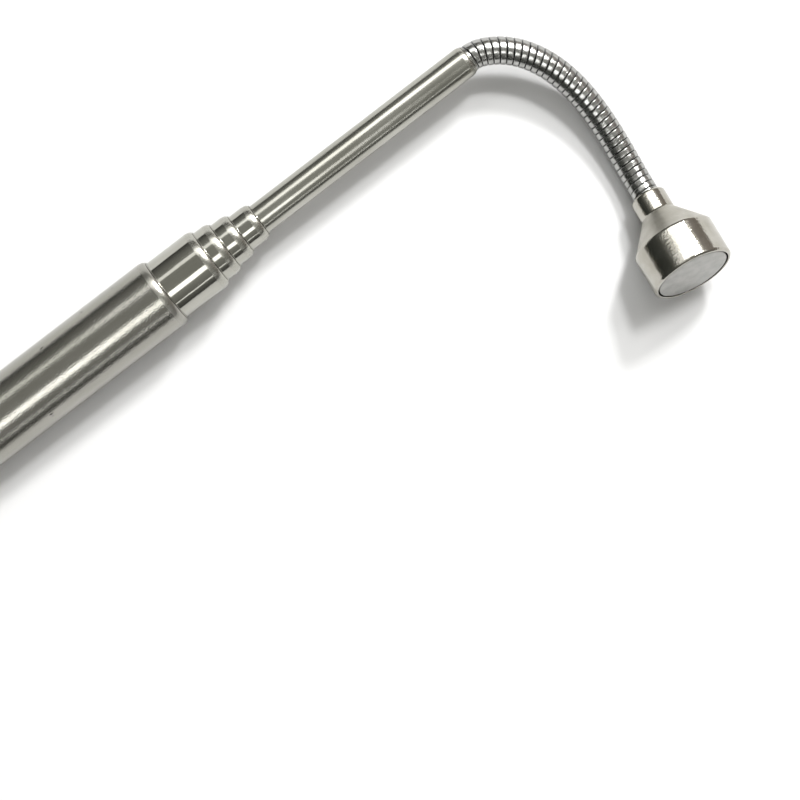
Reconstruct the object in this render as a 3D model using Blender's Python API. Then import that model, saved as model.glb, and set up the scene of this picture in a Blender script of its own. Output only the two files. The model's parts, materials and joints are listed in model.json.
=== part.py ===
"""A telescoping magnetic pickup tool: six nested steel tubes, a flexible neck and a cup-shaped magnet head.

The handle's axis is the X axis, with the origin at the centre of its rear end face. The tool lies on a
flat surface: the handle touches it along its length, and the bent neck brings the head down to it.
Lengths below are in millimetres and become metres in the meshes.
"""

import math

import bmesh
import bpy
from mathutils import Matrix, Vector

MM = 0.001

# Telescoping tubes. Tube 1 is the handle, and each next tube is one step thinner.
HANDLE_DIAMETER = 11.2
TUBE_STEP = 1.27
TUBE_COUNT = 6
WALL = 0.28
HANDLE_LENGTH = 140.0
TUBE_LENGTH = 138.5
LAST_TUBE_LENGTH = 100.0
SHOWN_LENGTH = {2: 8.2, 3: 2.7, 4: 2.9, 5: 3.4, 6: 39.0}
FINE_SIDES = 36
COARSE_SIDES = 24

# The rolled-in mouth at a tube's front end.
MOUTH_CLEARANCE = 0.055
MOUTH_LIP = 0.10
SHOULDER_LENGTH = 1.2
SHOULDER_WALL = 0.25
MOUTH_LAND = 0.3

# The rear end of an inner tube: a flared rim, two friction springs and a rolled bead.
FLARE_HEIGHT = 0.2
FLARE_LENGTH = 1.0
SPRING_LENGTH = 7.0
SPRING_END_GAP = 0.1
SPRING_INNER_GAP = 0.04
SPRING_OUTER_GAP = 0.03
SPRING_ARC = 150.0
BEAD_LENGTH = 0.8

# The end plug in the handle.
PLUG_FLANGE = 1.5
PLUG_RADIUS = 5.5
PLUG_EDGE = 0.5
PLUG_GAP = 0.1
PLUG_SPIGOT = 5.0
PLUG_SPIGOT_GAP = 0.05
PLUG_RECESS_RADIUS = 4.3
PLUG_RECESS_FLOOR = 2.0

# The neck: a chain of short sections, each two turns of the strip-wound hose long.
SECTION_COUNT = 17
SECTION_PITCH = 2.16
SECTION_SIDES = 16
NECK_RADIUS = 2.12
BAND_REAR = -0.25
BAND_FRONT = 1.15
BALL_RADIUS = 1.80
BALL_FRONT = 0.3
SOCKET_RADIUS = 1.88
SOCKET_FLOOR = 0.88
NECK_BORE = 0.9
ROOT_JOINT = 1.2
ROOT_BALL_FRONT = 0.0
ROOT_SHANK_RADIUS = 1.95
ROOT_PLUG_RADIUS = 2.10
ROOT_PLUG_LENGTH = 5.0
LAST_MOUTH_RADIUS = 2.0
LAST_SHOULDER = 0.8

# The neck's curve: how far it has turned sideways, and how it dips and then tips the head up.
NECK_FIRST_TURN = 18.0
NECK_TURN = 98.5
NECK_TURN_POWER = 2.58
HEAD_TURN = 100.4
HEAD_TILT = 20.5
DIP_END = 0.85

# The head: collar, cone and a cylinder that holds the magnet.
COLLAR_RADIUS = 2.75
COLLAR_CHAMFER = 0.35
COLLAR_END = 3.3
CONE_END = 8.0
HEAD_RADIUS = 6.35
HEAD_END = 14.1
RIM_CHAMFER = 0.3
POCKET_RADIUS = 5.75
POCKET_DEPTH = 3.4
HEAD_SOCKET_FLOOR = 1.0
MAGNET_RADIUS = 5.55
MAGNET_REAR_GAP = 0.1
MAGNET_RECESS = 0.05
MAGNET_CHAMFER = 0.15

MERGE_DISTANCE = 1e-7
SHARP_ANGLE = math.radians(30)


def clear_scene():
    for item in list(bpy.data.objects):
        bpy.data.objects.remove(item, do_unlink=True)


def make_material(name, colour, metallic, roughness):
    material = bpy.data.materials.new(name)
    material.use_nodes = True
    shader = material.node_tree.nodes["Principled BSDF"]
    shader.inputs["Base Color"].default_value = (*colour, 1.0)
    shader.inputs["Metallic"].default_value = metallic
    shader.inputs["Roughness"].default_value = roughness
    return material


def add_object(name, mesh_builder, material, frame):
    """Turns a finished bmesh into an object whose origin and direction are those of the frame."""
    bmesh.ops.remove_doubles(mesh_builder, verts=mesh_builder.verts, dist=MERGE_DISTANCE)
    bmesh.ops.recalc_face_normals(mesh_builder, faces=mesh_builder.faces)
    mesh = bpy.data.meshes.new(name)
    mesh_builder.to_mesh(mesh)
    mesh_builder.free()
    mesh.materials.append(material)
    mesh.shade_smooth()
    mesh.set_sharp_from_angle(angle=SHARP_ANGLE)
    item = bpy.data.objects.new(name, mesh)
    item.matrix_world = frame
    bpy.context.scene.collection.objects.link(item)
    return item


def profile_points(mesh_builder, profile, start_angle):
    """The profile's (x, radius) points in millimetres, on the half-plane at start_angle about the X axis."""
    across = math.cos(start_angle) * MM
    up = math.sin(start_angle) * MM
    return [mesh_builder.verts.new((x * MM, radius * across, radius * up)) for x, radius in profile]


def turn(name, profile, sides, material, frame):
    """A turned piece. A profile that starts and ends on the axis is open, and any other one is a closed loop."""
    mesh_builder = bmesh.new()
    half_side = math.pi / sides
    points = profile_points(mesh_builder, profile, half_side)
    edges = [mesh_builder.edges.new(pair) for pair in zip(points, points[1:])]
    if profile[0][1] > 0:
        edges.append(mesh_builder.edges.new((points[-1], points[0])))
    bmesh.ops.spin(
        mesh_builder,
        geom=points + edges,
        axis=(1, 0, 0),
        cent=(0, 0, 0),
        angle=2 * math.pi,
        steps=sides,
        use_merge=True,
    )
    return add_object(name, mesh_builder, material, frame)


def sleeve_piece(name, rear, front, inner, outer, start_angle, step_angle, steps, material, frame):
    """Part of a thin sleeve about the X axis, swept from a rectangular section."""
    mesh_builder = bmesh.new()
    corners = [(rear, inner), (front, inner), (front, outer), (rear, outer)]
    section = mesh_builder.faces.new(profile_points(mesh_builder, corners, start_angle))
    bmesh.ops.spin(
        mesh_builder,
        geom=[section],
        axis=(1, 0, 0),
        cent=(0, 0, 0),
        angle=step_angle * steps,
        steps=steps,
    )
    return add_object(name, mesh_builder, material, frame)


def quarter(x_start, x_end, radius_start, radius_end, segments):
    """Points on a quarter of an ellipse that leaves x_start along the axis and reaches radius_end across it."""
    points = []
    for index in range(segments + 1):
        angle = math.pi / 2 * index / segments
        x = x_start + (x_end - x_start) * math.sin(angle)
        radius = radius_end + (radius_start - radius_end) * math.cos(angle)
        points.append((x, radius))
    return points


def ball_points(centre, radius, x_start, x_end, segments):
    """Points on a circle about the axis point centre, from x_start to x_end, at even angles."""
    first = math.acos((x_start - centre) / radius)
    last = math.acos((x_end - centre) / radius)
    points = []
    for index in range(segments + 1):
        angle = first + (last - first) * index / segments
        points.append((centre + radius * math.cos(angle), radius * math.sin(angle)))
    return points


def tube_radius(number):
    return (HANDLE_DIAMETER - TUBE_STEP * (number - 1)) / 2


def tube_sides(number):
    return FINE_SIDES if number <= 2 else COARSE_SIDES


def tube_length(number):
    if number == 1:
        return HANDLE_LENGTH
    return LAST_TUBE_LENGTH if number == TUBE_COUNT else TUBE_LENGTH


def tube_front(number):
    """Where a tube's front end is, along the X axis."""
    front = PLUG_FLANGE + PLUG_GAP + HANDLE_LENGTH
    return front + sum(SHOWN_LENGTH[inner] for inner in range(2, number + 1))


def spring_start():
    return FLARE_LENGTH + SPRING_END_GAP


def bead_start():
    return spring_start() + SPRING_LENGTH + SPRING_END_GAP


def tube_profile(number):
    """A tube's wall, from its rear end at x = 0, with the flare and bead that an inner tube has."""
    radius = tube_radius(number)
    bore = radius - WALL
    length = tube_length(number)
    if number == TUBE_COUNT:
        mouth = LAST_MOUTH_RADIUS
        shoulder = LAST_SHOULDER
    else:
        mouth = tube_radius(number + 1) + MOUTH_CLEARANCE
        shoulder = SHOULDER_LENGTH
    profile = []
    if number > 1:
        flare = radius + FLARE_HEIGHT
        profile += [(0, flare), (FLARE_LENGTH, flare), (FLARE_LENGTH, radius)]
        profile += [(bead_start(), radius), (bead_start(), flare)]
        profile += [(bead_start() + BEAD_LENGTH, flare), (bead_start() + BEAD_LENGTH, radius)]
    else:
        profile.append((0, radius))
    profile += quarter(length - shoulder, length, radius, mouth + MOUTH_LIP, 4)
    profile.append((length, mouth))
    inner_start = length - shoulder - SHOULDER_WALL
    profile += reversed(quarter(inner_start, length - MOUTH_LAND, bore, mouth, 2))
    profile.append((0, bore))
    return profile


def make_tubes(steel, nickel):
    names = {1: "handle_tube"}
    for number in range(1, TUBE_COUNT + 1):
        name = names.get(number, f"tube_{number}")
        rear = tube_front(number) - tube_length(number)
        frame = Matrix.Translation((rear * MM, 0, 0))
        material = steel if number == 1 else nickel
        turn(name, tube_profile(number), tube_sides(number), material, frame)


def make_springs(bronze):
    """Two curved friction springs stand between each inner tube's rear end and the bore round it."""
    for number in range(2, TUBE_COUNT + 1):
        inner = tube_radius(number) + SPRING_INNER_GAP
        outer = tube_radius(number - 1) - WALL - SPRING_OUTER_GAP
        rear = tube_front(number) - tube_length(number)
        frame = Matrix.Translation((rear * MM, 0, 0))
        step_angle = 2 * math.pi / tube_sides(number)
        # An odd number of steps puts the spring's corners in line with the tube's.
        steps = 2 * int((math.radians(SPRING_ARC) / step_angle - 1) / 2) + 1
        half_arc = step_angle * steps / 2
        for side, middle in (("left", 0), ("right", math.pi)):
            sleeve_piece(
                f"friction_spring_{number}_{side}",
                spring_start(),
                spring_start() + SPRING_LENGTH,
                inner,
                outer,
                middle - half_arc,
                step_angle,
                steps,
                bronze,
                frame,
            )


def make_end_plug(steel):
    spigot = tube_radius(1) - WALL - PLUG_SPIGOT_GAP
    spigot_end = PLUG_FLANGE + PLUG_GAP + PLUG_SPIGOT
    profile = [(0, 0), (0, PLUG_RADIUS - PLUG_EDGE)]
    profile += list(reversed(quarter(PLUG_EDGE, 0, PLUG_RADIUS, PLUG_RADIUS - PLUG_EDGE, 3)))[1:]
    profile += [(PLUG_FLANGE, PLUG_RADIUS), (PLUG_FLANGE, spigot)]
    profile += [(spigot_end, spigot), (spigot_end, PLUG_RECESS_RADIUS)]
    profile += [(PLUG_RECESS_FLOOR, PLUG_RECESS_RADIUS), (PLUG_RECESS_FLOOR, 0)]
    turn("handle_end_plug", profile, FINE_SIDES, steel, Matrix())


def neck_direction(part_way, dip):
    """The neck's direction after this share of its length, as a unit vector."""
    share = 1 - (1 - part_way) ** NECK_TURN_POWER
    sideways = math.radians(NECK_FIRST_TURN + (NECK_TURN - NECK_FIRST_TURN) * share)
    if part_way < DIP_END:
        rise = -dip * math.sin(math.pi * part_way / DIP_END)
    else:
        rise = math.radians(HEAD_TILT) * (part_way - DIP_END) / (1 - DIP_END)
    return direction(sideways, rise)


def direction(sideways, rise):
    flat = math.cos(rise)
    return Vector((flat * math.cos(sideways), -flat * math.sin(sideways), math.sin(rise)))


def neck_frames(dip):
    """One frame for each section and one for the head, at their rear joints. No section is twisted."""
    ways = [neck_direction((index + 0.5) / SECTION_COUNT, dip) for index in range(SECTION_COUNT)]
    ways.append(direction(math.radians(HEAD_TURN), math.radians(HEAD_TILT)))
    place = Vector((tube_front(TUBE_COUNT) + ROOT_JOINT, 0, 0))
    facing = Vector((1, 0, 0))
    turned = Matrix.Identity(3)
    frames = []
    for way in ways:
        turned = facing.rotation_difference(way).to_matrix() @ turned
        frames.append(Matrix.Translation(place * MM) @ turned.to_4x4())
        place = place + way * SECTION_PITCH
        facing = way
    return frames


def lowest_of_head(head_frame):
    """The height of the lowest corner of the head's widest rim."""
    rim = [(CONE_END, HEAD_RADIUS), (HEAD_END - RIM_CHAMFER, HEAD_RADIUS)]
    heights = []
    for side in range(FINE_SIDES):
        angle = math.pi / FINE_SIDES * (2 * side + 1)
        for x, radius in rim:
            corner = Vector((x, radius * math.cos(angle), radius * math.sin(angle))) * MM
            heights.append((head_frame @ corner).z)
    return min(heights)


def settle_neck():
    """Finds the dip that brings the head down to the surface under the handle, by halving."""
    surface = -tube_radius(1) * math.cos(math.pi / FINE_SIDES) * MM
    shallow = 0.0
    deep = math.radians(25)
    for _ in range(30):
        dip = (shallow + deep) / 2
        if lowest_of_head(neck_frames(dip)[-1]) > surface:
            shallow = dip
        else:
            deep = dip
    return neck_frames(shallow)


def ball_end(joint, start, past_joint):
    """The outline of the ball about a joint, from where it leaves its band to its bore."""
    points = ball_points(joint, BALL_RADIUS, start, joint + past_joint, 2)
    return points + [(joint + past_joint, NECK_BORE)]


def socket():
    """The outline of the socket about the joint at x = 0, from its floor back to its rim."""
    return ball_points(0, SOCKET_RADIUS, SOCKET_FLOOR, BAND_REAR, 2)


def make_neck_root(chrome):
    """The end of the hose that is fixed in the thinnest tube."""
    plug_front = -LAST_SHOULDER - SHOULDER_WALL - MOUTH_LAND
    plug_rear = plug_front - ROOT_PLUG_LENGTH
    profile = [(plug_rear, NECK_BORE), (plug_rear, ROOT_PLUG_RADIUS), (plug_front, ROOT_PLUG_RADIUS)]
    profile += [(plug_front, ROOT_SHANK_RADIUS), (0, ROOT_SHANK_RADIUS)]
    profile += ball_end(ROOT_JOINT, 0, ROOT_BALL_FRONT)
    frame = Matrix.Translation((tube_front(TUBE_COUNT) * MM, 0, 0))
    turn("neck_root", profile, SECTION_SIDES, chrome, frame)


def make_neck_sections(chrome, frames):
    profile = [(BAND_REAR, NECK_RADIUS), (BAND_FRONT, NECK_RADIUS)]
    profile += ball_end(SECTION_PITCH, BAND_FRONT, BALL_FRONT)
    profile.append((SOCKET_FLOOR, NECK_BORE))
    profile += socket()
    for number, frame in enumerate(frames, 1):
        turn(f"neck_section_{number:02d}", profile, SECTION_SIDES, chrome, frame)


def make_head(nickel, magnet_finish, frame):
    profile = [(HEAD_SOCKET_FLOOR, 0), (HEAD_SOCKET_FLOOR, NECK_BORE)]
    profile += socket()
    profile += [(BAND_REAR, COLLAR_RADIUS - COLLAR_CHAMFER), (BAND_REAR + COLLAR_CHAMFER, COLLAR_RADIUS)]
    profile += [(COLLAR_END, COLLAR_RADIUS), (CONE_END, HEAD_RADIUS)]
    profile += [(HEAD_END - RIM_CHAMFER, HEAD_RADIUS), (HEAD_END, HEAD_RADIUS - RIM_CHAMFER)]
    profile += [(HEAD_END, POCKET_RADIUS), (HEAD_END - POCKET_DEPTH, POCKET_RADIUS)]
    profile.append((HEAD_END - POCKET_DEPTH, 0))
    turn("head_shell", profile, FINE_SIDES, nickel, frame)

    rear = HEAD_END - POCKET_DEPTH + MAGNET_REAR_GAP
    front = HEAD_END - MAGNET_RECESS
    disc = [(rear, 0), (rear, MAGNET_RADIUS - MAGNET_CHAMFER), (rear + MAGNET_CHAMFER, MAGNET_RADIUS)]
    disc += [(front - MAGNET_CHAMFER, MAGNET_RADIUS), (front, MAGNET_RADIUS - MAGNET_CHAMFER), (front, 0)]
    turn("magnet", disc, FINE_SIDES, magnet_finish, frame)


def main():
    clear_scene()
    satin_steel = make_material("satin_steel", (0.56, 0.55, 0.52), 1.0, 0.32)
    bright_nickel = make_material("bright_nickel", (0.66, 0.65, 0.60), 1.0, 0.16)
    chrome = make_material("neck_chrome", (0.66, 0.67, 0.68), 1.0, 0.20)
    head_nickel = make_material("head_nickel", (0.68, 0.66, 0.61), 1.0, 0.18)
    magnet_finish = make_material("magnet_plating", (0.72, 0.72, 0.70), 1.0, 0.45)
    bronze = make_material("spring_bronze", (0.62, 0.42, 0.20), 1.0, 0.35)

    make_tubes(satin_steel, bright_nickel)
    make_springs(bronze)
    make_end_plug(satin_steel)
    frames = settle_neck()
    make_neck_root(chrome)
    make_neck_sections(chrome, frames[:-1])
    make_head(head_nickel, magnet_finish, frames[-1])


main()
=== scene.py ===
# %% [markdown]
# # A telescoping magnetic pickup tool
#
# The real tool is a pocket-sized reacher: six thin steel tubes that slide into each other, a flexible
# metal neck, and a plated steel head with a strong magnet in its mouth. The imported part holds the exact
# sizes and the joints. This lesson builds the finished surfaces round it: rolled tube mouths, a hose
# wound from strip, lathe marks, and four kinds of metal.

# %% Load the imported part
import json
import math

import bmesh
import bpy
import numpy as np
from mathutils import Matrix, Vector


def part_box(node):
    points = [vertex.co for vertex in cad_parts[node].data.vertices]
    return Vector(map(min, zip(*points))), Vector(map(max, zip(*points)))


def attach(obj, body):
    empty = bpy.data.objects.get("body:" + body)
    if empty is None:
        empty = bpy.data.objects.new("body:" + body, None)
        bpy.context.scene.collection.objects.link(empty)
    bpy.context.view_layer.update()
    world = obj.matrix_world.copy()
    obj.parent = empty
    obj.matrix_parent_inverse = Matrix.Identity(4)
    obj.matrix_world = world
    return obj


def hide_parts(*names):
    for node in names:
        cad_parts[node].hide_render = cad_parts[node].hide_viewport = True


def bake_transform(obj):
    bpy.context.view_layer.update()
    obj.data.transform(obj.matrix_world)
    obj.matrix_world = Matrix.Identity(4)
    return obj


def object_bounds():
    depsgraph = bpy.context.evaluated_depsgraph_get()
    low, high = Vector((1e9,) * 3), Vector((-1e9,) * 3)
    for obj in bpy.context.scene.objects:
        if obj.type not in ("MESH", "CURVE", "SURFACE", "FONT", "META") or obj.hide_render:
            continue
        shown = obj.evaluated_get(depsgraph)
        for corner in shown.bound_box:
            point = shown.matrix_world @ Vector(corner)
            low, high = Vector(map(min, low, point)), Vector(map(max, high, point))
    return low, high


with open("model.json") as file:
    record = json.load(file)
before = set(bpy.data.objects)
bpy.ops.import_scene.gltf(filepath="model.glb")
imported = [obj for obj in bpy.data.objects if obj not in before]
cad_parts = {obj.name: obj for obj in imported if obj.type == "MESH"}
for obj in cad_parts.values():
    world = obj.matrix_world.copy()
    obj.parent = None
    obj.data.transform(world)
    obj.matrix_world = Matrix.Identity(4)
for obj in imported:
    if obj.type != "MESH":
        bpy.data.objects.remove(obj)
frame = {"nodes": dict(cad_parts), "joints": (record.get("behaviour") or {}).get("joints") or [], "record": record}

cad_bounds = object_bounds()

# %% [markdown]
# ## Where the neck runs
#
# The neck of the real tool is one hose. The part splits it at eighteen joints, and the record says where
# each joint is. Reading the joints, instead of typing their places, keeps the looks and the part in step.
# The section between two joints points from one to the next, and the head points along the magnet's face.

# %% Find the neck's joints and directions
MM = 0.001
X_AXIS = Vector((1, 0, 0))

neck_joints = [joint for joint in frame["joints"] if joint["name"].startswith(("neck_", "head_"))]
joint_places = [Vector(joint["pos_m"]) for joint in neck_joints]
magnet_face = next(mount for mount in frame["record"]["mounts"] if mount["name"] == "magnet_face")
head_way = Vector(magnet_face["axis"]).normalized()

section_ways = [X_AXIS]
section_ways += [(after - before).normalized() for before, after in zip(joint_places, joint_places[1:])]
section_ways.append(head_way)
section_pitch = (joint_places[1] - joint_places[0]).length
print("neck joints:", len(joint_places), "pitch in mm:", round(section_pitch / MM, 3))

# %% [markdown]
# ## Turned pieces
#
# Tubes, the end plug, the head and the magnet are all round, as they come from a drawing bench or a lathe.
# A lathe needs only an outline, so one helper spins an outline about its own X axis. Blender's Spin or
# Screw could do this too, but writing the rings straight into a mesh also lets each point remember where
# it was on the lathe, in millimetres, in an attribute called lathe_place. The metals read that attribute,
# so brushing runs along a tube and round a head, whichever way the finished piece points. A second
# attribute, wear, says how much more matt a place is than the rest.

# %% A lathe
ROUND_SIDES = 144
SHARP_EDGE = math.radians(40)


def lathe(name, outline, place, sides=ROUND_SIDES, worn=()):
    """A closed round piece from (x, radius) points in millimetres, moved to its place.

    Each (start, end, amount) of worn says how worn the metal is between two places along the axis.
    """
    points = np.array(outline)
    angles = np.arange(sides) * 2 * math.pi / sides
    local = []
    rings = []
    for x, radius in points:
        if radius == 0:
            rings.append([len(local)])
            local.append((x, 0.0, 0.0))
            continue
        rings.append(list(range(len(local), len(local) + sides)))
        local += [(x, radius * math.cos(angle), radius * math.sin(angle)) for angle in angles]
    pairs = list(zip(rings, rings[1:]))
    if points[0][1] > 0:
        pairs.append((rings[-1], rings[0]))
    faces = []
    for near, far in pairs:
        for side in range(sides):
            after = (side + 1) % sides
            corners = [near[side % len(near)], near[after % len(near)]]
            corners += [far[after % len(far)], far[side % len(far)]]
            faces.append(list(dict.fromkeys(corners)))
    mesh = bpy.data.meshes.new(name)
    mesh.from_pydata([Vector(point) * MM for point in local], [], faces)
    keep = mesh.attributes.new("lathe_place", "FLOAT_VECTOR", "POINT")
    keep.data.foreach_set("vector", np.array(local, np.float32).ravel())
    wear = np.zeros(len(local), np.float32)
    along = np.array(local)[:, 0]
    for start, end, amount in worn:
        wear[(along >= start) & (along <= end)] = amount
    mesh.attributes.new("wear", "FLOAT", "POINT").data.foreach_set("value", wear)
    builder = bmesh.new()
    builder.from_mesh(mesh)
    bmesh.ops.recalc_face_normals(builder, faces=builder.faces)
    builder.to_mesh(mesh)
    builder.free()
    mesh.transform(place)
    mesh.shade_smooth()
    mesh.set_sharp_from_angle(angle=SHARP_EDGE)
    piece = bpy.data.objects.new(name, mesh)
    bpy.context.scene.collection.objects.link(piece)
    return piece


def soften(corners, steps=4):
    """Rounds each (x, radius, rounding) corner of an outline. The first and last stay as they are."""
    smooth = [corners[0][:2]]
    for before, corner, after in zip(corners, corners[1:], corners[2:]):
        here = np.array(corner[:2])
        rounding = corner[2] if len(corner) > 2 else 0
        if rounding == 0:
            smooth.append(tuple(here))
            continue
        to_before = np.array(before[:2]) - here
        to_after = np.array(after[:2]) - here
        first = here + to_before * min(0.45, rounding / np.linalg.norm(to_before))
        last = here + to_after * min(0.45, rounding / np.linalg.norm(to_after))
        for step in range(steps + 1):
            part = step / steps
            smooth.append(tuple((1 - part) ** 2 * first + 2 * part * (1 - part) * here + part**2 * last))
    return smooth + [corners[-1][:2]]


print("lathe ready,", ROUND_SIDES, "sides")

# %% [markdown]
# ## Metals
#
# Bare metal is never one flat colour. Its tint drifts a little, drawing or polishing leaves fine lines
# along the work, and handling leaves tiny pits. Each metal here has the same four layers with its own
# numbers: a cloud that drifts the tint, a grain that follows the tool marks and changes both roughness and
# bump, pits, and low waves that make the edge of a highlight ragged. The grain is a noise that is stretched
# along the lathe's axis for tubes and squeezed along it for lathe marks. Three more layers are there only where
# a metal asks for them: wear, which turns the metal matt where a piece's wear attribute says so, painted shade
# in the gaps between the turns of the hose, and specks of dust under the plating of the handle.

# %% A metal with tint, grain, pits and waves
CLOUD_DETAIL = 3.0
GRAIN_DETAIL = 4.0
PIT_DETAIL = 2.0
WAVE_DETAIL = 1.0
PIT_EDGE = 0.06
PIT_SHADE = 0.25


def link_noise(tree, source, stretch, scale, detail):
    """A noise that reads its place stretched by three factors."""
    mapping = tree.nodes.new("ShaderNodeMapping")
    mapping.inputs["Scale"].default_value = stretch
    tree.links.new(source, mapping.inputs["Vector"])
    noise = tree.nodes.new("ShaderNodeTexNoise")
    noise.inputs["Scale"].default_value = scale
    noise.inputs["Detail"].default_value = detail
    tree.links.new(mapping.outputs["Vector"], noise.inputs["Vector"])
    return noise.outputs["Fac"]


def link_range(tree, value, from_low, from_high, to_low, to_high):
    """Maps a value from one range to another, and holds it there."""
    node = tree.nodes.new("ShaderNodeMapRange")
    node.inputs["From Min"].default_value = from_low
    node.inputs["From Max"].default_value = from_high
    node.inputs["To Min"].default_value = to_low
    node.inputs["To Max"].default_value = to_high
    tree.links.new(value, node.inputs["Value"])
    return node.outputs["Result"]


def link_bump(tree, height, micrometres, normal=None):
    """A bump of a height in micrometres, on top of another bump if there is one."""
    bump = tree.nodes.new("ShaderNodeBump")
    bump.inputs["Strength"].default_value = 1.0
    bump.inputs["Distance"].default_value = micrometres * 1e-6
    tree.links.new(height, bump.inputs["Height"])
    if normal is not None:
        tree.links.new(normal, bump.inputs["Normal"])
    return bump.outputs["Normal"]


def link_mix(tree, share, first, second):
    """A colour between two. Each is a colour or another node's output."""
    mix = tree.nodes.new("ShaderNodeMix")
    mix.data_type = "RGBA"
    tree.links.new(share, mix.inputs["Factor"])
    for socket, colour in ((mix.inputs[6], first), (mix.inputs[7], second)):
        if isinstance(colour, tuple):
            socket.default_value = (*colour, 1.0)
        else:
            tree.links.new(colour, socket)
    return mix.outputs[2]


def link_wear(tree, rough, most):
    """Raises the roughness where the wear attribute says so."""
    wear = tree.nodes.new("ShaderNodeAttribute")
    wear.attribute_name = "wear"
    total = tree.nodes.new("ShaderNodeMath")
    total.operation = "MULTIPLY_ADD"
    tree.links.new(wear.outputs["Fac"], total.inputs[0])
    total.inputs[1].default_value = most
    tree.links.new(rough, total.inputs[2])
    return total.outputs[0]


def link_specks(tree, source, apart, radius):
    """Small round specks, which dust leaves under a plated layer."""
    cells = tree.nodes.new("ShaderNodeTexVoronoi")
    cells.inputs["Scale"].default_value = 1 / apart
    tree.links.new(source, cells.inputs["Vector"])
    return link_range(tree, cells.outputs["Distance"], 0, radius / apart, 1, 0)


def make_metal(name, look, place="lathe_place"):
    """A metal from a dict of numbers. Sizes are in millimetres, and heights in micrometres."""
    material = bpy.data.materials.new(name)
    material.use_nodes = True
    tree = material.node_tree
    shader = tree.nodes["Principled BSDF"]
    shader.inputs["Metallic"].default_value = 1.0
    if place == "object":
        coordinates = tree.nodes.new("ShaderNodeTexCoord").outputs["Object"]
        to_mm = 1 / MM
    else:
        attribute = tree.nodes.new("ShaderNodeAttribute")
        attribute.attribute_name = place
        coordinates = attribute.outputs["Vector"]
        to_mm = 1.0

    def noise(stretch, size, detail):
        return link_noise(tree, coordinates, [s * to_mm for s in stretch], 1 / size, detail)

    cloud = noise(look["cloud_stretch"], look["cloud_size"], CLOUD_DETAIL)
    grain = noise(look["grain_stretch"], look["grain_size"], GRAIN_DETAIL)
    pits = noise((1, 1, 1), look["pit_size"], PIT_DETAIL)
    tint = link_mix(tree, link_range(tree, cloud, 0.35, 0.65, 0, 1), look["tint_a"], look["tint_b"])
    pit_full = look["pit_level"] + PIT_EDGE
    pit_share = link_range(tree, pits, look["pit_level"], pit_full, 0, look["pit_dark"])
    pit_colour = tuple(PIT_SHADE * part for part in look["tint_a"])
    colour = link_mix(tree, pit_share, tint, pit_colour)
    # Painted shade: where the hose's gap is deep, the colour is darkened nearly to black.
    if "gap_painted_shade" in look:
        gap = tree.nodes.new("ShaderNodeAttribute")
        gap.attribute_name = "gap_depth"
        gap_shade_share = link_range(tree, gap.outputs["Fac"], 0.1, 0.8, 0, 1)
        colour = link_mix(tree, gap_shade_share, colour, look["gap_painted_shade"])
    tree.links.new(colour, shader.inputs["Base Color"])
    rough = link_range(tree, grain, 0.3, 0.7, look["rough_low"], look["rough_high"])
    if "worn_rough" in look:
        rough = link_wear(tree, rough, look["worn_rough"])
    tree.links.new(rough, shader.inputs["Roughness"])
    normal = link_bump(tree, grain, look["grain_height"])
    waves = noise(look["wave_stretch"], look["wave_size"], WAVE_DETAIL)
    normal = link_bump(tree, waves, look["wave_height"], normal)
    if "speck_apart" in look:
        specks = link_specks(tree, coordinates, look["speck_apart"] / to_mm, look["speck_radius"] / to_mm)
        normal = link_bump(tree, specks, look["speck_height"], normal)
    tree.links.new(normal, shader.inputs["Normal"])
    return material


print("metal builder ready")

# %% [markdown]
# ## The six metals
#
# Sizes are in millimetres, and heights in micrometres, as a surface gauge would give them.
# A drawn tube's grain is about thirty times longer than it is wide. The head's grain runs round it instead,
# because it was turned.

# %% Mix the metals
ALONG = (0.03, 1, 1)
satin_steel = make_metal(
    "satin_steel",
    {
        "tint_a": (0.325, 0.32, 0.285),
        "tint_b": (0.375, 0.365, 0.335),
        "cloud_stretch": (0.2, 1, 1),
        "cloud_size": 2.5,
        "grain_stretch": ALONG,
        "grain_size": 0.16,
        "grain_height": 0.2,
        "rough_low": 0.15,
        "rough_high": 0.19,
        "pit_size": 0.12,
        "pit_level": 0.68,
        "pit_dark": 0.5,
        "wave_stretch": (0.9, 1, 1),
        "wave_size": 0.22,
        "wave_height": 24.0,
        "worn_rough": 0.12,
        "speck_apart": 3.2,
        "speck_radius": 0.40,
        "speck_height": 170.0,
    },
)
bright_nickel = make_metal(
    "bright_nickel",
    {
        "tint_a": (0.36, 0.355, 0.315),
        "tint_b": (0.43, 0.425, 0.385),
        "cloud_stretch": (0.3, 1, 1),
        "cloud_size": 3.0,
        "grain_stretch": ALONG,
        "grain_size": 0.12,
        "grain_height": 0.4,
        "rough_low": 0.07,
        "rough_high": 0.15,
        "pit_size": 0.10,
        "pit_level": 0.72,
        "pit_dark": 0.35,
        "wave_stretch": (0.25, 1, 1),
        "wave_size": 0.5,
        "wave_height": 3.0,
        "worn_rough": 0.16,
    },
)
hose_chrome = make_metal(
    "hose_chrome",
    {
        "tint_a": (0.33, 0.33, 0.315),
        "tint_b": (0.44, 0.44, 0.425),
        "cloud_stretch": (1, 1, 1),
        "cloud_size": 0.9,
        "grain_stretch": (1, 0.25, 0.25),
        "grain_size": 0.10,
        "grain_height": 0.7,
        "rough_low": 0.14,
        "rough_high": 0.28,
        "pit_size": 0.09,
        "pit_level": 0.70,
        "pit_dark": 0.4,
        "wave_stretch": (1, 1, 1),
        "wave_size": 0.35,
        "wave_height": 9.0,
        # Painted shade: the near-black colour painted into the deep gaps between the turns.
        "gap_painted_shade": (0.012, 0.012, 0.013),
    },
)
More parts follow.
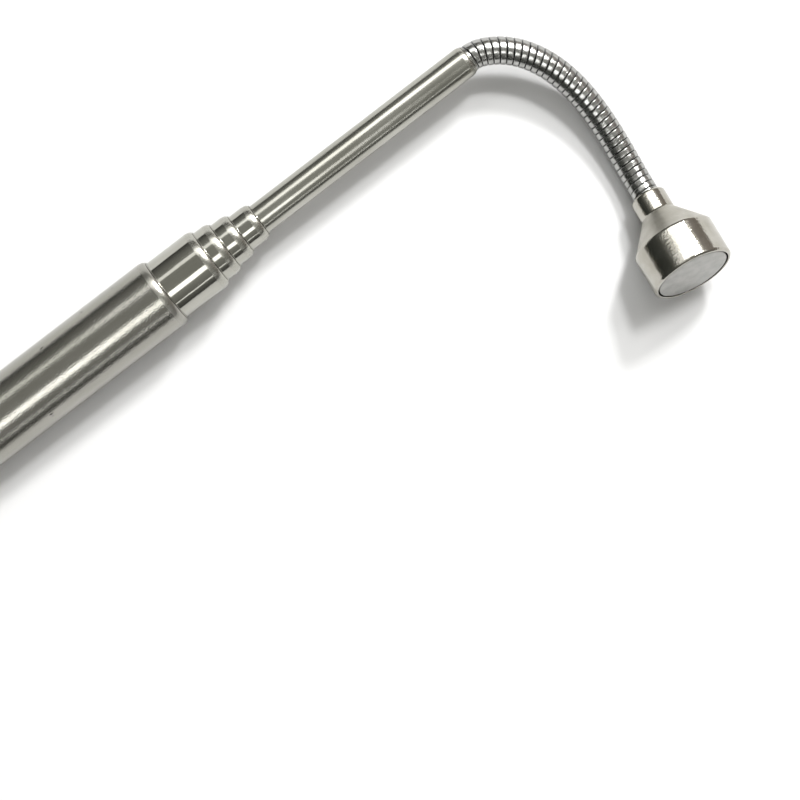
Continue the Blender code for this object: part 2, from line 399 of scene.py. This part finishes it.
head_nickel = make_metal(
    "head_nickel",
    {
        "tint_a": (0.37, 0.355, 0.31),
        "tint_b": (0.45, 0.435, 0.395),
        "cloud_stretch": (1, 1, 1),
        "cloud_size": 2.2,
        "grain_stretch": (5, 0.3, 0.3),
        "grain_size": 0.25,
        "grain_height": 0.45,
        "rough_low": 0.08,
        "rough_high": 0.17,
        "pit_size": 0.12,
        "pit_level": 0.70,
        "pit_dark": 0.35,
        "wave_stretch": (0.9, 1, 1),
        "wave_size": 0.30,
        "wave_height": 17.0,
        "worn_rough": 0.26,
    },
)
magnet_plate = make_metal(
    "magnet_plate",
    {
        "tint_a": (0.34, 0.34, 0.325),
        "tint_b": (0.41, 0.405, 0.39),
        "cloud_stretch": (1, 1, 1),
        "cloud_size": 1.6,
        "grain_stretch": (1, 1, 1),
        "grain_size": 0.08,
        "grain_height": 1.2,
        "rough_low": 0.34,
        "rough_high": 0.50,
        "pit_size": 0.15,
        "pit_level": 0.72,
        "pit_dark": 0.3,
        "wave_stretch": (1, 1, 1),
        "wave_size": 1.5,
        "wave_height": 2.0,
    },
)
spring_bronze = make_metal(
    "spring_bronze",
    {
        "tint_a": (0.55, 0.36, 0.18),
        "tint_b": (0.66, 0.46, 0.26),
        "cloud_stretch": (1, 1, 1),
        "cloud_size": 2.0,
        "grain_stretch": ALONG,
        "grain_size": 0.10,
        "grain_height": 1.0,
        "rough_low": 0.22,
        "rough_high": 0.38,
        "pit_size": 0.15,
        "pit_level": 0.70,
        "pit_dark": 0.4,
        "wave_stretch": (0.3, 1, 1),
        "wave_size": 1.0,
        "wave_height": 1.0,
    },
    place="object",
)
print("metals made: steel, nickel, hose chrome, head nickel, magnet plating and bronze")

# %% [markdown]
# ## The six tubes
#
# Each tube is drawn from thin strip, and its front end is rolled inwards so that it grips the next tube: a
# long rounded shoulder, and then a small bead that hugs the next tube. The roll is what catches the light
# at every step of the tool, and rolling leaves it a little more matt than the tube. Inside, each smaller
# tube has a flared rear rim and a bead, and its two friction springs sit between them. The outline goes
# round the wall once: outside, over the rolled mouth, and back through the bore. The handle takes the most
# handling and is satin, and the thinnest tube is half worn all over, because it is rubbed the most.

# %% Turn the tubes
WALL = 0.28
FLARE = 0.20
FLARE_LENGTH = 1.0
BEAD_START = 8.2
BEAD_LENGTH = 0.8
MOUTH_GAP = 0.05
BEAD_RADIUS = 0.085
BEAD_STEPS = 8
BEAD_FIRST_ANGLE = 160
BEAD_SWEEP = 250
SHOULDER = 1.45
LAST_SHOULDER = 1.0
SHOULDER_STEPS = 16
MOUTH_LAND = 0.3
HOSE_MOUTH = 2.02
RUBBED_SHARE = 0.6
ROLLED_SHARE = 1.0
TUBE_NODES = ["handle_tube"] + [f"tube_{number}" for number in range(2, 7)]


def tube_size(node):
    """A tube's rear end, length and outside radius in millimetres, from its box in the part."""
    low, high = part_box(node)
    flare = 0 if node == "handle_tube" else FLARE
    return low.x / MM, (high.x - low.x) / MM, high.z / MM - flare


def rolled_mouth(length, radius, mouth, shoulder):
    """The outline over a rolled mouth: a long rounded shoulder, then a small bead that hugs the next tube."""
    lip = mouth + BEAD_RADIUS
    ellipse_end = length - 2 * BEAD_RADIUS
    outline = []
    for step in range(SHOULDER_STEPS + 1):
        angle = math.pi / 2 * step / SHOULDER_STEPS
        x = length - shoulder + (ellipse_end - length + shoulder) * math.sin(angle)
        outline.append((x, lip + (radius - lip) * math.cos(angle)))
    for step in range(BEAD_STEPS + 1):
        angle = math.radians(BEAD_FIRST_ANGLE - BEAD_SWEEP * step / BEAD_STEPS)
        x = length - BEAD_RADIUS + BEAD_RADIUS * math.cos(angle)
        outline.append((x, lip + BEAD_RADIUS * math.sin(angle)))
    outline.append((length - MOUTH_LAND, mouth))
    return outline


def tube_outline(length, radius, mouth, shoulder, inner_tube):
    """The outline of a whole tube. Only an inner tube has a flare and a bead at its rear."""
    outline = []
    if inner_tube:
        bead_end = BEAD_START + BEAD_LENGTH
        corners = [
            (0, radius - 0.1),
            (0, radius + FLARE, 0.08),
            (FLARE_LENGTH, radius + FLARE, 0.08),
            (FLARE_LENGTH, radius, 0.05),
            (BEAD_START, radius, 0.05),
            (BEAD_START, radius + FLARE, 0.12),
            (bead_end, radius + FLARE, 0.12),
            (bead_end, radius, 0.05),
            (bead_end + 1, radius),
        ]
        outline += soften(corners)
    else:
        outline += soften([(0, radius - WALL), (0, radius, 0.08), (1, radius)])[1:]
    outline += rolled_mouth(length, radius, mouth, shoulder)
    outline += [(length - shoulder - 0.25, radius - WALL), (0, radius - WALL)]
    return outline


sizes = [tube_size(node) for node in TUBE_NODES]
for index, node in enumerate(TUBE_NODES):
    rear, length, radius = sizes[index]
    last = index == len(TUBE_NODES) - 1
    mouth = HOSE_MOUTH if last else sizes[index + 1][2] + MOUTH_GAP
    shoulder = LAST_SHOULDER if last else SHOULDER
    outline = tube_outline(length, radius, mouth, shoulder, index > 0)
    worn = [(0, length, RUBBED_SHARE)] if last else []
    worn.append((length - 0.95 * shoulder, length - 0.2, ROLLED_SHARE))
    piece = lathe(node + "_skin", outline, Matrix.Translation((rear * MM, 0, 0)), worn=worn)
    piece.data.materials.append(satin_steel if index == 0 else bright_nickel)
    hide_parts(node)
    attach(piece, "handle" if index == 0 else node)
    print(piece.name, "radius", round(radius, 3), "length", round(length, 1))

# %% [markdown]
# ## The end plug
#
# A small pressed or turned plug closes the rear of the handle, so that the tubes can't be pushed out of
# the back. It has a rounded flange, a shallow dish and a spigot that sits in the bore.

# %% Turn the end plug
PLUG_RADIUS = 5.47
FLANGE_END = 1.5
SPIGOT_RADIUS = 5.25
SPIGOT_END = 6.5
SPIGOT_BORE = 4.3
DISH_DEPTH = 0.12
plug_outline = soften(
    [
        (0.0, 0.0),
        (DISH_DEPTH, 0.0),
        (DISH_DEPTH, 3.2, 0.2),
        (0.0, 3.5, 0.2),
        (0.0, 4.95, 0.3),
        (0.55, PLUG_RADIUS, 0.3),
        (FLANGE_END, PLUG_RADIUS, 0.08),
        (FLANGE_END, SPIGOT_RADIUS, 0.05),
        (SPIGOT_END, SPIGOT_RADIUS, 0.2),
        (SPIGOT_END, SPIGOT_BORE, 0.1),
        (2.0, SPIGOT_BORE, 0.1),
        (2.0, 0.0),
    ]
)[1:]
end_plug = lathe("handle_end_plug_skin", plug_outline, Matrix.Identity(4))
end_plug.data.materials.append(satin_steel)
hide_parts("handle_end_plug")
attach(end_plug, "handle")
print("plug points:", len(plug_outline))

# %% [markdown]
# ## Friction springs
#
# Two curved strips of phosphor bronze press outwards between each pair of tubes, and hold the tool at any
# length. They are always hidden inside, and the part's own shape is right, so they only get their metal.

# %% Finish the springs
for node, part in frame["nodes"].items():
    if node.startswith("friction_spring"):
        part.data.materials.clear()
        part.data.materials.append(spring_bronze)
print("springs done")

# %% [markdown]
# ## The hose, wound from strip
#
# The neck is a long strip of steel wound into a screw: a rounded band stands proud, the next turn hooks
# over its edge, and a thin dark gap runs between them. Because it is one screw, a Geometry Nodes tree
# suits it: the tree makes a sheet of points, counts turns along it, wraps it round a curve, and lets a
# float curve say how far each point of a turn stands out. Shearing the sheet by one turn per lap makes the
# band a true screw instead of a stack of rings, and holding the turn count between 0 and the end cuts each
# length off square. The depth of the gap is kept in an attribute, and the metal uses it to paint shade
# into the gap. Every length covers one joint of the neck, from the middle of one section to the middle
# of the next.

# %% Shape of a turn
ROWS_PER_TURN = 20
HOSE_SIDES = 72
BAND_SHAPE = [
    (0.00, 0.00),
    (0.08, 0.00),
    (0.11, 0.85),
    (0.16, 0.98),
    (0.30, 1.00),
    (0.72, 0.92),
    (0.88, 0.84),
    (0.95, 0.70),
    (1.00, 0.00),
]
PATH_STEPS = 32
WELD = 2e-7
print("rows a turn:", ROWS_PER_TURN, "sides:", HOSE_SIDES)

# %% [markdown]
# ## Parts of the hose tree
#
# A Geometry Nodes tree is easier to read in parts. Each function here adds the nodes for one idea, and
# returns the outputs that the next one needs.

# %% Parts of the hose tree
def add_math(tree, operation, *values):
    """A math node whose inputs are numbers or other nodes' outputs."""
    node = tree.nodes.new("ShaderNodeMath")
    node.operation = operation
    for socket, value in zip(node.inputs, values):
        if isinstance(value, (int, float)):
            socket.default_value = value
        else:
            tree.links.new(value, socket)
    return node.outputs[0]


def add_vector_math(tree, operation, *values):
    """A vector math node. A single number goes to its Scale input."""
    node = tree.nodes.new("ShaderNodeVectorMath")
    node.operation = operation
    for index, value in enumerate(values):
        socket = node.inputs["Scale"] if operation == "SCALE" and index == 1 else node.inputs[index]
        if isinstance(value, (int, float, tuple)):
            socket.default_value = value
        else:
            tree.links.new(value, socket)
    return node.outputs[0]


def add_store(tree, name, kind, value, mesh):
    """Keeps a value on the points of a mesh under a name."""
    store = tree.nodes.new("GeometryNodeStoreNamedAttribute")
    store.data_type = kind
    store.domain = "POINT"
    store.inputs["Name"].default_value = name
    tree.links.new(value, store.inputs["Value"])
    tree.links.new(mesh, store.inputs["Geometry"])
    return store.outputs[0]


def add_sheet(tree, turns):
    """A flat sheet of points, with each point's row, its share of a lap, and the number of the last row."""
    rows = add_math(tree, "MULTIPLY", add_math(tree, "ADD", turns, 1.0), ROWS_PER_TURN)
    rows = add_math(tree, "ROUND", add_math(tree, "ADD", rows, 3.0))
    grid = tree.nodes.new("GeometryNodeMeshGrid")
    grid.inputs["Size X"].default_value = 1.0
    grid.inputs["Size Y"].default_value = 1.0
    grid.inputs["Vertices Y"].default_value = HOSE_SIDES + 1
    tree.links.new(rows, grid.inputs["Vertices X"])

    sheet = tree.nodes.new("ShaderNodeSeparateXYZ")
    tree.links.new(tree.nodes.new("GeometryNodeInputPosition").outputs[0], sheet.inputs[0])
    last_row = add_math(tree, "SUBTRACT", rows, 1.0)
    row = add_math(tree, "MULTIPLY", add_math(tree, "ADD", sheet.outputs[0], 0.5), last_row)
    row = add_math(tree, "ROUND", row)
    lap = add_math(tree, "ADD", sheet.outputs[1], 0.5)
    return grid.outputs["Mesh"], row, lap, last_row


def add_turns(tree, row, lap, turns, turns_before):
    """How many turns are wound at each point, held inside the length, and how far it is through its turn."""
    wound = add_math(tree, "DIVIDE", add_math(tree, "SUBTRACT", row, 1.0), ROWS_PER_TURN)
    wound = add_math(tree, "ADD", add_math(tree, "SUBTRACT", wound, 1.0), lap)
    turn = add_math(tree, "MINIMUM", add_math(tree, "MAXIMUM", wound, 0.0), turns)
    phase = add_math(tree, "SUBTRACT", add_math(tree, "ADD", turn, turns_before), lap)
    phase = add_math(tree, "FRACT", add_math(tree, "ADD", phase, 10.0))
    return turn, phase


def add_gap_depth(tree, phase):
    """How deep each point of a turn lies: 0 on the band and 1 in the gap."""
    band = tree.nodes.new("ShaderNodeFloatCurve")
    curve = band.mapping.curves[0]
    curve.points[0].location = BAND_SHAPE[0]
    curve.points[1].location = BAND_SHAPE[-1]
    for point in BAND_SHAPE[1:-1]:
        curve.points.new(*point)
    for point in curve.points:
        point.handle_type = "VECTOR"
    band.mapping.update()
    tree.links.new(phase, band.inputs["Value"])
    return add_math(tree, "SUBTRACT", 1.0, band.outputs[0])


def add_path(tree, given, share):
    """The place on the curve at a share of its length, and the directions along, across and above it."""
    path = tree.nodes.new("GeometryNodeCurveQuadraticBezier")
    path.inputs["Resolution"].default_value = PATH_STEPS
    for name, socket in (("Start", "Start"), ("Bend", "Middle"), ("End", "End")):
        tree.links.new(given[name], path.inputs[socket])
    sample = tree.nodes.new("GeometryNodeSampleCurve")
    sample.mode = "FACTOR"
    tree.links.new(path.outputs[0], sample.inputs["Curves"])
    tree.links.new(share, sample.inputs["Factor"])
    across = add_vector_math(tree, "CROSS_PRODUCT", (0.0, 0.0, 1.0), sample.outputs["Tangent"])
    across = add_vector_math(tree, "NORMALIZE", across)
    above = add_vector_math(tree, "CROSS_PRODUCT", sample.outputs["Tangent"], across)
    return sample.outputs["Position"], across, above


print("hose tree parts ready")

# %% [markdown]
# ## The whole tree
#
# The parts are joined in the order that a winder works: count the turns, shape the band, and wrap it round
# the path. The first and last rows of the sheet have no radius, so they close the ends.

# %% Build the hose tree
def make_hose_tree():
    """The tree: a sheet is counted into turns, wrapped round a curve, and given its metal."""
    tree = bpy.data.node_groups.new("strip_wound_hose", "GeometryNodeTree")
    sockets = tree.interface
    sockets.new_socket("Geometry", in_out="OUTPUT", socket_type="NodeSocketGeometry")
    for name, kind in (
        ("Start", "NodeSocketVector"),
        ("Bend", "NodeSocketVector"),
        ("End", "NodeSocketVector"),
        ("Turns", "NodeSocketFloat"),
        ("Turns before", "NodeSocketFloat"),
        ("Pitch mm", "NodeSocketFloat"),
        ("Radius mm", "NodeSocketFloat"),
        ("Depth mm", "NodeSocketFloat"),
        ("Metal", "NodeSocketMaterial"),
    ):
        sockets.new_socket(name, in_out="INPUT", socket_type=kind)
    given = tree.nodes.new("NodeGroupInput").outputs
    result = tree.nodes.new("NodeGroupOutput").inputs

    sheet, row, lap, last_row = add_sheet(tree, given["Turns"])
    turn, phase = add_turns(tree, row, lap, given["Turns"], given["Turns before"])
    gap_depth = add_gap_depth(tree, phase)
    radius = add_math(tree, "MULTIPLY", gap_depth, given["Depth mm"])
    radius = add_math(tree, "SUBTRACT", given["Radius mm"], radius)
    after_first = add_math(tree, "GREATER_THAN", row, 0.5)
    before_last = add_math(tree, "LESS_THAN", row, add_math(tree, "SUBTRACT", last_row, 0.5))
    radius = add_math(tree, "MULTIPLY", radius, add_math(tree, "MULTIPLY", after_first, before_last))

    centre, across, above = add_path(tree, given, add_math(tree, "DIVIDE", turn, given["Turns"]))
    angle = add_math(tree, "MULTIPLY", lap, 2 * math.pi)
    right = add_math(tree, "MULTIPLY", add_math(tree, "COSINE", angle), radius)
    up = add_math(tree, "MULTIPLY", add_math(tree, "SINE", angle), radius)
    sideways = add_vector_math(tree, "SCALE", across, right)
    upwards = add_vector_math(tree, "SCALE", above, up)
    offset = add_vector_math(tree, "SCALE", add_vector_math(tree, "ADD", sideways, upwards), MM)
    place = add_vector_math(tree, "ADD", centre, offset)

    # Both values are stored on the flat sheet, because moving the points would change what they read.
    along = add_math(tree, "ADD", turn, given["Turns before"])
    along = add_math(tree, "MULTIPLY", along, given["Pitch mm"])
    lathe_place = tree.nodes.new("ShaderNodeCombineXYZ")
    for socket, value in zip(lathe_place.inputs, (along, right, up)):
        tree.links.new(value, socket)
    kept = add_store(tree, "lathe_place", "FLOAT_VECTOR", lathe_place.outputs[0], sheet)
    kept = add_store(tree, "gap_depth", "FLOAT", gap_depth, kept)

    wrap = tree.nodes.new("GeometryNodeSetPosition")
    tree.links.new(kept, wrap.inputs["Geometry"])
    tree.links.new(place, wrap.inputs["Position"])
    join = tree.nodes.new("GeometryNodeMergeByDistance")
    join.inputs["Distance"].default_value = WELD
    smooth = tree.nodes.new("GeometryNodeSetShadeSmooth")
    realize = tree.nodes.new("GeometryNodeRealizeInstances")
    finish = tree.nodes.new("GeometryNodeSetMaterial")
    tree.links.new(given["Metal"], finish.inputs["Material"])
    chain = [wrap, join, smooth, realize, finish]
    for before, after in zip(chain, chain[1:]):
        tree.links.new(before.outputs[0], after.inputs["Geometry"])
    tree.links.new(finish.outputs[0], result["Geometry"])
    return tree


hose_tree = make_hose_tree()
print("hose tree nodes:", len(hose_tree.nodes))

# %% [markdown]
# ## Lengths of hose over the joints
#
# Each length is a bend from the middle of one section, past a joint, to the middle of the next section. A
# quadratic curve that aims at the joint leaves both middles in the sections' own directions, so that two
# lengths meet without a kink. The first length starts in the mouth of the sixth tube, and the last one
# ends in the collar of the head. The root length rides on the sixth tube, and the others stay where they are
# wound.

# %% Wind the hose
TURNS_PER_SECTION = 2.0
ROOT_TURNS = 4.0
TURNS_BEFORE_ROOT = 5.0
HOSE_RADIUS = 2.08
BAND_DEPTH = 0.16


def wind_hose(name, start, bend, end, turns, turns_before):
    """One length of hose as a plain mesh."""
    holder = bpy.data.objects.new(name + "_tree", bpy.data.meshes.new(name + "_tree"))
    bpy.context.scene.collection.objects.link(holder)
    modifier = holder.modifiers.new("hose", "NODES")
    modifier.node_group = hose_tree
    values = {
        "Start": start,
        "Bend": bend,
        "End": end,
        "Turns": turns,
        "Turns before": turns_before,
        "Pitch mm": section_pitch / MM / TURNS_PER_SECTION,
        "Radius mm": HOSE_RADIUS,
        "Depth mm": BAND_DEPTH,
        "Metal": hose_chrome,
    }
    for socket in hose_tree.interface.items_tree:
        if socket.in_out == "INPUT":
            modifier[socket.identifier] = values[socket.name]
    graph = bpy.context.evaluated_depsgraph_get()
    mesh = bpy.data.meshes.new_from_object(holder.evaluated_get(graph))
    mesh.name = name
    bpy.data.objects.remove(holder)
    builder = bmesh.new()
    builder.from_mesh(mesh)
    bmesh.ops.recalc_face_normals(builder, faces=builder.faces)
    builder.to_mesh(mesh)
    builder.free()
    piece = bpy.data.objects.new(name, mesh)
    bpy.context.scene.collection.objects.link(piece)
    return piece


half = section_pitch / 2

root_start = joint_places[0] - X_AXIS * (half + ROOT_TURNS * half)
root_end = joint_places[0] - X_AXIS * half
root_middle = (root_start + root_end) / 2
hose_root = wind_hose("hose_root", root_start, root_middle, root_end, ROOT_TURNS, TURNS_BEFORE_ROOT)
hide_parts("neck_root")
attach(hose_root, "tube_6")

for index, place in enumerate(joint_places):
    start = place - section_ways[index] * half
    end = place + section_ways[index + 1] * half
    turns_before = TURNS_BEFORE_ROOT + ROOT_TURNS + TURNS_PER_SECTION * index
    piece = wind_hose(f"hose_{index + 1:02d}", start, place, end, TURNS_PER_SECTION, turns_before)
    if index < len(joint_places) - 1:
        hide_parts(f"neck_section_{index + 1:02d}")
    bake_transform(piece)
print("hose lengths:", len(joint_places) + 1, "faces in one:", len(piece.data.polygons))

# %% [markdown]
# ## The head
#
# The head is turned from steel bar and plated: a collar that grips the hose, a cone, and a cylinder with a
# thin rim round the magnet. The cutting tool left fine rings on the cone that still show through the
# plating, so the outline itself carries them: shallow grooves, up to about twenty micrometres deep on the
# cone, unevenly spaced by a random generator with a fixed seed. The collar and the cylinder were polished,
# so they have only faint ones, and the cone is more matt than the rest.

# %% Sizes of the head
rng = np.random.default_rng(41)
COLLAR_RADIUS = 2.74
COLLAR_REAR = -0.25
COLLAR_END = 3.3
CONE_END = 8.0
HEAD_RADIUS = 6.32
HEAD_END = 14.1
POCKET_RADIUS = 5.75
POCKET_DEPTH = 3.4
HOSE_SOCKET = 2.2
HOSE_STOP = 1.3
RIM_BEVEL = 0.28
HEAD_SIDES = 216
COLLAR_RINGS = (0.22, 0.0015)
CONE_RINGS = (0.19, 0.022)
CYLINDER_RINGS = (0.3, 0.0012)
print("head:", HEAD_END - COLLAR_REAR, "mm long, ring spacing and depth:", CONE_RINGS)

# %% [markdown]
# ## The head's outline
#
# The outline starts where the hose ends inside the collar, and runs out over the collar, the cone and the
# cylinder, round the rim and into the magnet's pocket.

# %% Turn the head
def ringed_line(start, end, spacing, depth):
    """Points from start to end with small uneven grooves across the line."""
    start = np.array(start)
    end = np.array(end)
    length = np.linalg.norm(end - start)
    inwards = np.array((end[1] - start[1], start[0] - end[0])) / length
    points = []
    place = spacing
    while place < length - spacing:
        width = spacing * rng.uniform(0.25, 0.45)
        sink = depth * rng.uniform(0.1, 1.0) ** 2
        for shift, share in ((-width, 0), (0, 1), (width, 0)):
            points.append(tuple(start + (end - start) * (place + shift) / length + inwards * sink * share))
        place += spacing * rng.uniform(1.0, 1.9)
    return points


def head_frame():
    """The head's place: its X axis is the head's direction, and its origin is its joint."""
    across = Vector((0, 0, 1)).cross(head_way).normalized()
    above = head_way.cross(across)
    turned = Matrix((head_way, across, above)).transposed().to_4x4()
    return Matrix.Translation(joint_places[-1]) @ turned


collar_front = (COLLAR_END, COLLAR_RADIUS)
cone_front = (CONE_END, HEAD_RADIUS)
pocket_floor = HEAD_END - POCKET_DEPTH
collar_corners = [
    (COLLAR_REAR + 0.15, HOSE_SOCKET),
    (COLLAR_REAR, HOSE_SOCKET + 0.1, 0.06),
    (COLLAR_REAR, COLLAR_RADIUS - 0.3, 0.05),
    (COLLAR_REAR + 0.32, COLLAR_RADIUS, 0.12),
    (COLLAR_REAR + 0.7, COLLAR_RADIUS),
]
rim_corners = [
    (HEAD_END - 0.45, HEAD_RADIUS),
    (HEAD_END - RIM_BEVEL, HEAD_RADIUS, 0.08),
    (HEAD_END, HEAD_RADIUS - RIM_BEVEL, 0.08),
    (HEAD_END, POCKET_RADIUS, 0.06),
    (pocket_floor, POCKET_RADIUS, 0.1),
    (pocket_floor, 0.0),
]
head_outline = [(HOSE_STOP, 0.0), (HOSE_STOP, HOSE_SOCKET), collar_corners[0]]
head_outline += soften(collar_corners)[1:]
head_outline += ringed_line(collar_corners[-1], collar_front, *COLLAR_RINGS)
head_outline.append(collar_front)
head_outline += ringed_line(collar_front, cone_front, *CONE_RINGS)
head_outline.append(cone_front)
head_outline += ringed_line((CONE_END + 0.1, HEAD_RADIUS), (HEAD_END - 0.5, HEAD_RADIUS), *CYLINDER_RINGS)
head_outline += soften(rim_corners)
head_worn = [(COLLAR_END + 0.05, CONE_END - 0.05, 1.0)]
head_shell = lathe("head_shell_skin", head_outline, head_frame(), sides=HEAD_SIDES, worn=head_worn)
head_shell.data.materials.append(head_nickel)
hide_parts("head_shell")
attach(head_shell, "head")
print("head outline points:", len(head_outline))

# %% [markdown]
# ## The magnet
#
# A disc of sintered magnet is plated and glued in the head's mouth, a hair below the rim. Its edge is
# slightly rounded, and the narrow gap round it reads as a dark ring.

# %% Turn the magnet
MAGNET_RADIUS = 5.53
MAGNET_FRONT = 14.05
GLUE = 0.1
magnet_rear = pocket_floor + GLUE
magnet_outline = soften(
    [
        (magnet_rear, 0.0),
        (magnet_rear, MAGNET_RADIUS, 0.2),
        (MAGNET_FRONT, MAGNET_RADIUS, 0.16),
        (MAGNET_FRONT, 0.0),
    ]
)
magnet = lathe("magnet_skin", magnet_outline, head_frame(), sides=HEAD_SIDES)
magnet.data.materials.append(magnet_plate)
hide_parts("magnet")
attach(magnet, "head")
print("magnet radius", MAGNET_RADIUS)

# %% [markdown]
# ## Floor
#
# The tool lies on a plain pale sheet, a hair below its lowest point, and the sheet runs far out of sight.

# %% Lay the floor
FLOOR_HALF = 3.0
FLOOR_GAP = 0.02 * MM
ground = cad_bounds[0].z - FLOOR_GAP
floor_corners = [(x, y, ground) for x, y in ((-1, -1), (1, -1), (1, 1), (-1, 1))]
floor_corners = [(x * FLOOR_HALF, y * FLOOR_HALF, z) for x, y, z in floor_corners]
floor_mesh = bpy.data.meshes.new("floor")
floor_mesh.from_pydata(floor_corners, [], [(0, 1, 2, 3)])
floor = bpy.data.objects.new("floor", floor_mesh)
bpy.context.scene.collection.objects.link(floor)
floor_paint = bpy.data.materials.new("floor_paint")
floor_paint.use_nodes = True
floor_shader = floor_paint.node_tree.nodes["Principled BSDF"]
floor_shader.inputs["Base Color"].default_value = (0.70, 0.70, 0.70, 1)
floor_shader.inputs["Roughness"].default_value = 0.9
floor_shader.inputs["Specular IOR Level"].default_value = 0.0
floor_mesh.materials.append(floor_paint)
print("floor at", round(ground / MM, 3), "mm")

# %% [markdown]
# ## Lights
#
# Polished metal shows its surroundings, so the light is planned by what each tube should mirror. A long
# softbox almost overhead gives the strong streak, and two on the far side give the weaker streak and the
# soft glow beside it. A thin strip low on the near side draws the edge line, and a small box to the right
# brightens the neck. Two small bright keys beyond the neck, one higher than the other, throw the doubled
# shadow. Each box is aimed at one spot on the tool, and then shifted along it where a streak has to end.

# %% Hang the lights
focus = Vector((0.159, -0.034, 0.0))


def add_softbox(name, towards, distance, width, length, radiance, shift=0.0):
    """An area light that faces the tool from a direction, with its length along X, shifted along X."""
    light = bpy.data.lights.new(name, "AREA")
    light.shape = "RECTANGLE"
    light.size = length
    light.size_y = width
    light.energy = radiance * math.pi * width * length
    lamp = bpy.data.objects.new(name, light)
    facing = Vector(towards).normalized()
    side = (X_AXIS - facing * facing.x).normalized()
    turned = Matrix((side, facing.cross(side), facing)).transposed().to_4x4()
    lamp.matrix_world = Matrix.Translation(focus + facing * distance + X_AXIS * shift) @ turned
    bpy.context.scene.collection.objects.link(lamp)


def tilted(zenith_angle, way):
    """The direction that leans from straight up by an angle in degrees, towards a flat direction."""
    angle = math.radians(zenith_angle)
    return Vector((0, 0, 1)) * math.cos(angle) + Vector(way) * math.sin(angle)


add_softbox("streak_light", tilted(22, (0, -1, 0)), 0.7, 0.20, 0.38, 3.2, shift=-0.135)
add_softbox("far_streak_light", tilted(41, (0, 1, 0)), 0.7, 0.28, 0.63, 2.9, shift=0.33)
add_softbox("glow_light", tilted(39, (0, 1, 0)), 0.7, 0.14, 0.38, 1.3, shift=-0.18)
add_softbox("edge_light", tilted(64, (0, -1, 0)), 0.8, 0.035, 0.5, 2.8)
add_softbox("neck_light", (0.67, 0.18, 0.70), 0.7, 0.30, 0.30, 4.5)
add_softbox("key_light", (1.07, 0.60, 1.0), 0.9, 0.11, 0.11, 165.0)
add_softbox("high_key_light", (0.62, 0.34, 1.0), 0.9, 0.11, 0.11, 94.0)
print("softboxes face", tuple(round(value, 3) for value in focus))

# %% [markdown]
# ## Sky
#
# The sky is darker near the horizon, which draws the dark lines beside the silhouettes, where the pale
# floor takes over. Its right side is a little warmer, and its left side is dark, so that the metal changes
# from one side of each round piece to the other.

# %% Paint the sky
sky = bpy.data.worlds.new("sky")
sky.use_nodes = True
bpy.context.scene.world = sky
sky_tree = sky.node_tree
sky_place = sky_tree.nodes.new("ShaderNodeTexCoord")
sky_height = sky_tree.nodes.new("ShaderNodeSeparateXYZ")
sky_tree.links.new(sky_place.outputs["Generated"], sky_height.inputs[0])
sky_ramp = sky_tree.nodes.new("ShaderNodeValToRGB")
sky_tree.links.new(sky_height.outputs["Z"], sky_ramp.inputs[0])
sky_ramp.color_ramp.elements[0].position = 0.02
sky_ramp.color_ramp.elements[0].color = (0.07, 0.07, 0.065, 1)
sky_ramp.color_ramp.elements[1].position = 0.80
sky_ramp.color_ramp.elements[1].color = (0.40, 0.40, 0.375, 1)
warm_side = link_range(sky_tree, sky_height.outputs["X"], 0.35, 0.8, 0, 1)
sky_colour = link_mix(sky_tree, warm_side, sky_ramp.outputs[0], (0.37, 0.335, 0.31))
dark_side = link_range(sky_tree, sky_height.outputs["X"], -0.25, -0.6, 0, 0.75)
sky_colour = link_mix(sky_tree, dark_side, sky_colour, (0.03, 0.035, 0.03))
sky_tree.links.new(sky_colour, sky_tree.nodes["Background"].inputs["Color"])
sky_tree.nodes["Background"].inputs["Strength"].default_value = 1.0
print("sky nodes:", len(sky_tree.nodes))

# %% [markdown]
# ## Camera
#
# The camera looks straight down from about the length of a forearm. The tool crosses the frame from its
# lower left to its upper right, and the handle runs out of it.

# %% Set the camera
TOOL_SLOPE = math.radians(37.5)
VIEW_WIDTH = 0.1185
VIEW_CENTRE = (0.1590, -0.0339)
LENS = 85.0
camera_data = bpy.data.cameras.new("camera")
camera_data.lens = LENS
camera_data.sensor_width = 36.0
camera_data.clip_start = 0.01
camera = bpy.data.objects.new("camera", camera_data)
view_right = Vector((math.cos(TOOL_SLOPE), -math.sin(TOOL_SLOPE), 0))
view_up = Vector((math.sin(TOOL_SLOPE), math.cos(TOOL_SLOPE), 0))
turned = Matrix((view_right, view_up, Vector((0, 0, 1)))).transposed().to_4x4()
camera_height = VIEW_WIDTH * LENS / camera_data.sensor_width
camera.matrix_world = Matrix.Translation((*VIEW_CENTRE, camera_height)) @ turned
bpy.context.scene.collection.objects.link(camera)
bpy.context.scene.camera = camera
bpy.context.scene.view_settings.view_transform = "Standard"
print("camera height:", round(camera_height, 3))
